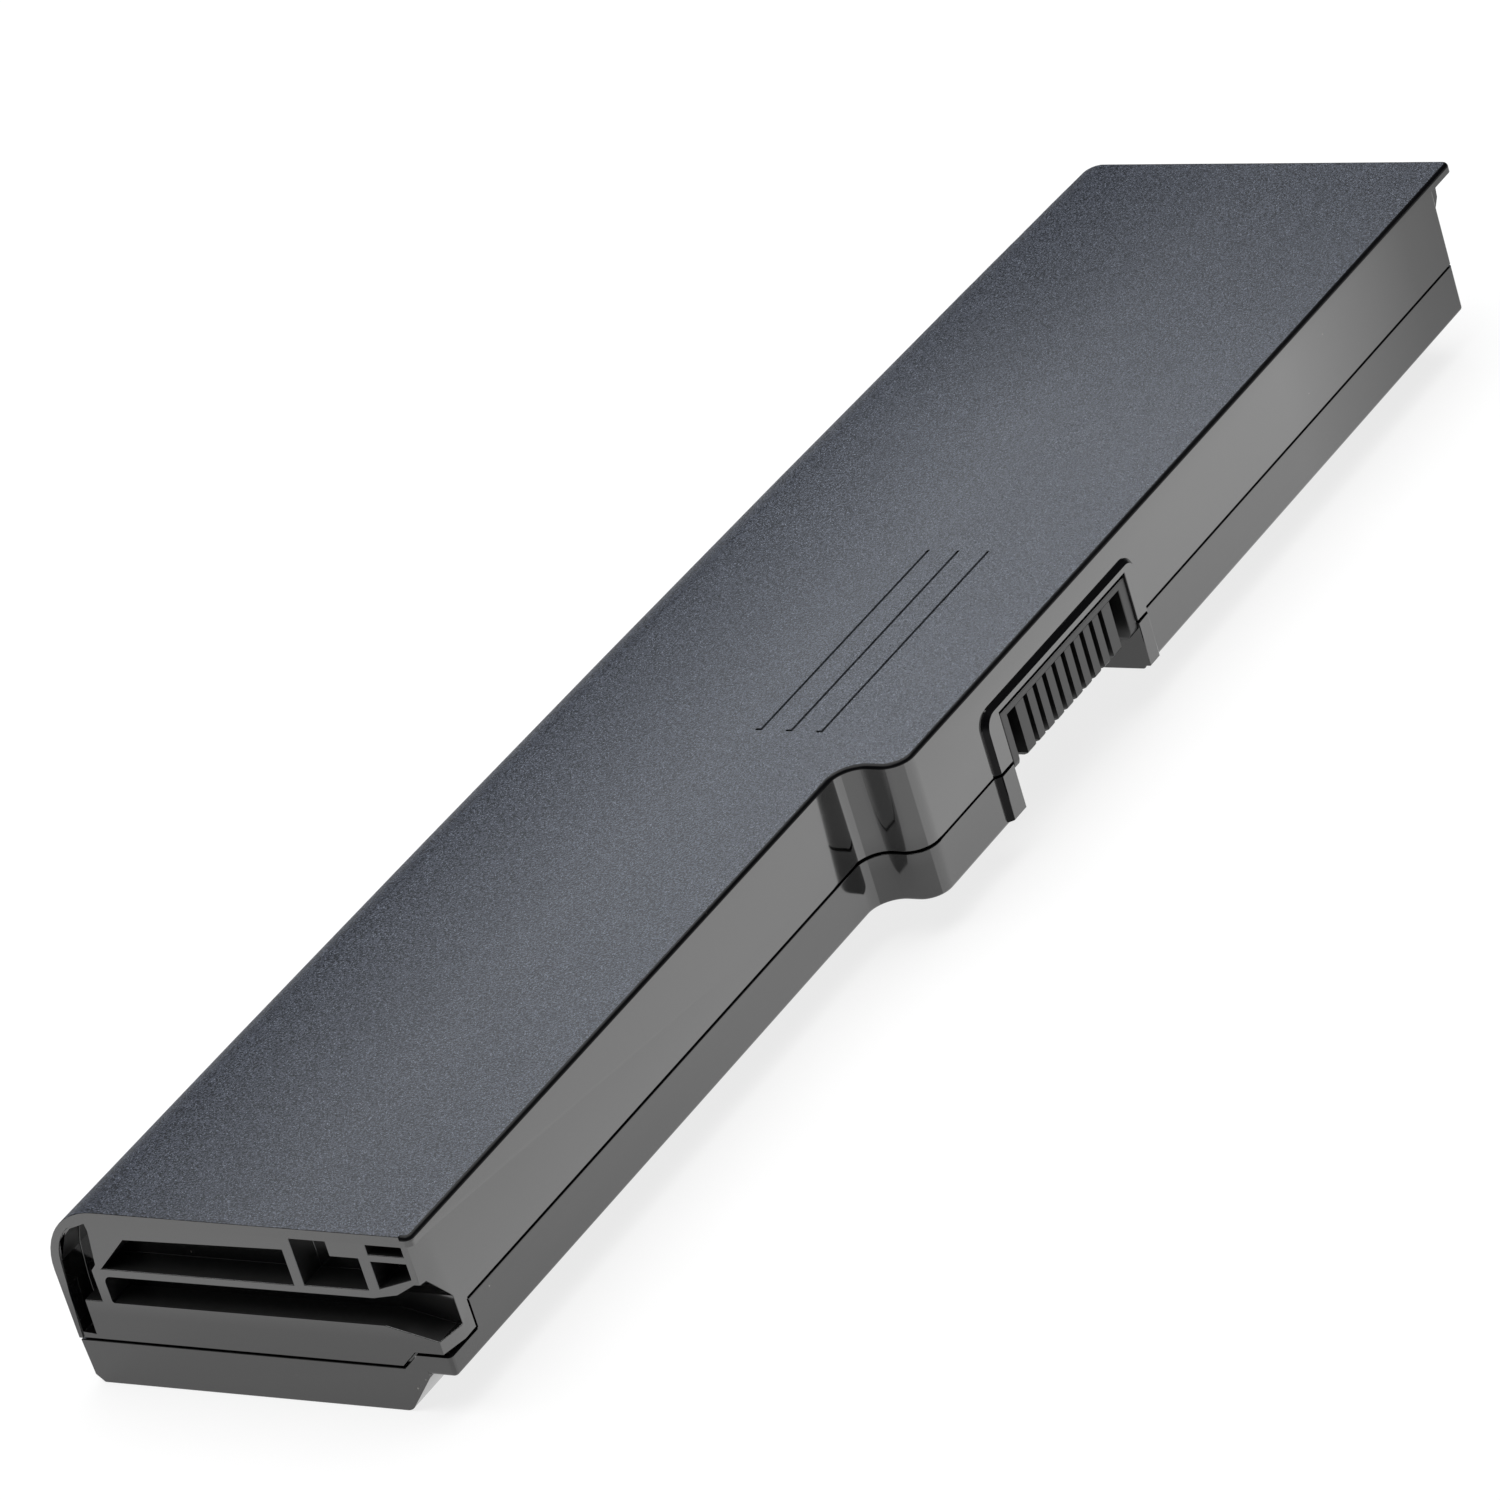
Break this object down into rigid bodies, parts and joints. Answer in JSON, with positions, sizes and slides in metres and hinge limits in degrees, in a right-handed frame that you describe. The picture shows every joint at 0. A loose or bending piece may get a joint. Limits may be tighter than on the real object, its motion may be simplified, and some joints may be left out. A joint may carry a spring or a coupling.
{
  "type": "laptop battery",
  "caption": "Slim laptop battery pack with a grained top, a stepped inner wall, a framed comb connector and a cored guide end.",
  "frame": {"origin": "centre of the underside's bounding rectangle, on the plane the belly rests on", "axes": "+X along the pack from the cored guide end to the far end, +Y from the connector wall to the rounded outer edge, +Z from the belly to the grained top"},
  "size_m": [0.205, 0.0511, 0.0197],
  "materials": {
    "case": "moulded black plastic, fine grain on top and smooth satin walls",
    "connector_plastic": "black glass-filled plastic",
    "contact_metal": "thin gold over copper alloy",
    "cell_sleeve": "shrink sleeve on a sealed cell",
    "insulating_paper": "fish paper",
    "nickel": "nickel strip, satin",
    "board": "solder mask over glass-epoxy",
    "chip_resin": "moulded chip resin",
    "fuse_body": "coated chip part",
    "ceramic": "ceramic chip",
    "sensor_resin": "dipped resin bead",
    "foam": "adhesive foam",
    "lead_black": "insulated lead",
    "lead_red": "insulated lead",
    "lead_white": "insulated lead"
  },
  "bodies": {
    "root": {"top_cover": "case", "bottom_cover": "case", "connector_block": "connector_plastic", "contact_1": "contact_metal", "contact_2": "contact_metal", "contact_3": "contact_metal", "contact_4": "contact_metal", "contact_5": "contact_metal", "contact_6": "contact_metal", "contact_7": "contact_metal", "contact_8": "contact_metal", "contact_9": "contact_metal", "cell_1": "cell_sleeve", "cell_2": "cell_sleeve", "cell_3": "cell_sleeve", "cell_4": "cell_sleeve", "cell_5": "cell_sleeve", "cell_6": "cell_sleeve", "cell_ring_1": "insulating_paper", "cell_ring_2": "insulating_paper", "cell_ring_3": "insulating_paper", "cell_ring_4": "insulating_paper", "cell_ring_5": "insulating_paper", "cell_ring_6": "insulating_paper", "end_paper_near": "insulating_paper", "end_paper_far": "insulating_paper", "board_insulator": "insulating_paper", "strip_1": "nickel", "strip_2": "nickel", "strip_3": "nickel", "strip_4": "nickel", "circuit_board": "board", "fuel_gauge_chip": "chip_resin", "protector_chip": "chip_resin", "switch_chip_1": "chip_resin", "switch_chip_2": "chip_resin", "chip_fuse": "fuse_body", "sense_resistor": "fuse_body", "capacitor_1": "ceramic", "capacitor_2": "ceramic", "thermistor": "sensor_resin", "foam_pad_1": "foam", "foam_pad_2": "foam", "foam_pad_3": "foam", "lead_minus": "lead_black", "lead_plus": "lead_red", "lead_tap": "lead_white"}
  },
  "joints": []
}
